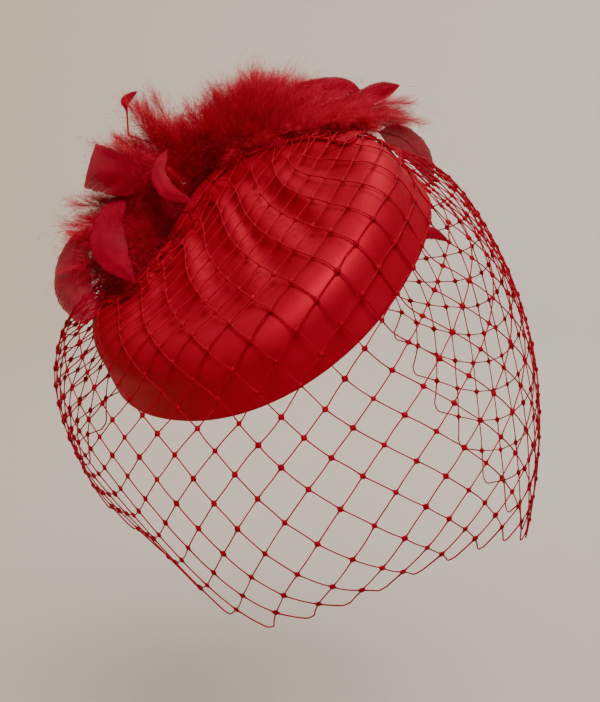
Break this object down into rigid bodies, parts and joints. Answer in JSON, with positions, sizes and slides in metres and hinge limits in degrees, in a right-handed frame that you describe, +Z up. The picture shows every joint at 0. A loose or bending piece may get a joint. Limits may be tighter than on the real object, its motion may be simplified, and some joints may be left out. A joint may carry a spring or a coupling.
{
  "type": "pillbox hat",
  "caption": "Tilted oval pillbox hat in draped satin, with a coarse net face veil gathered at the back and feather sprays behind the gather.",
  "frame": {"origin": "centre of the head opening in the plane of the rim, where the head meets the hat", "axes": "+Z up along the wearer's head, -Y the way the face looks, +X to the wearer's left; the hat is tilted about the origin as it is worn"},
  "size_m": [0.2776, 0.271, 0.2865],
  "materials": {
    "satin": "red duchess satin, soft sheen",
    "net": "red coarse millinery net, matte, knotted",
    "feather": "dyed red feathers and down, matte",
    "comb": "dark red moulded plastic"
  },
  "bodies": {
    "root": {"crown": "satin", "hair_comb": "comb", "veil": "net", "veil_gather": "net", "plume_left": "feather", "plume_right": "feather"}
  },
  "joints": []
}
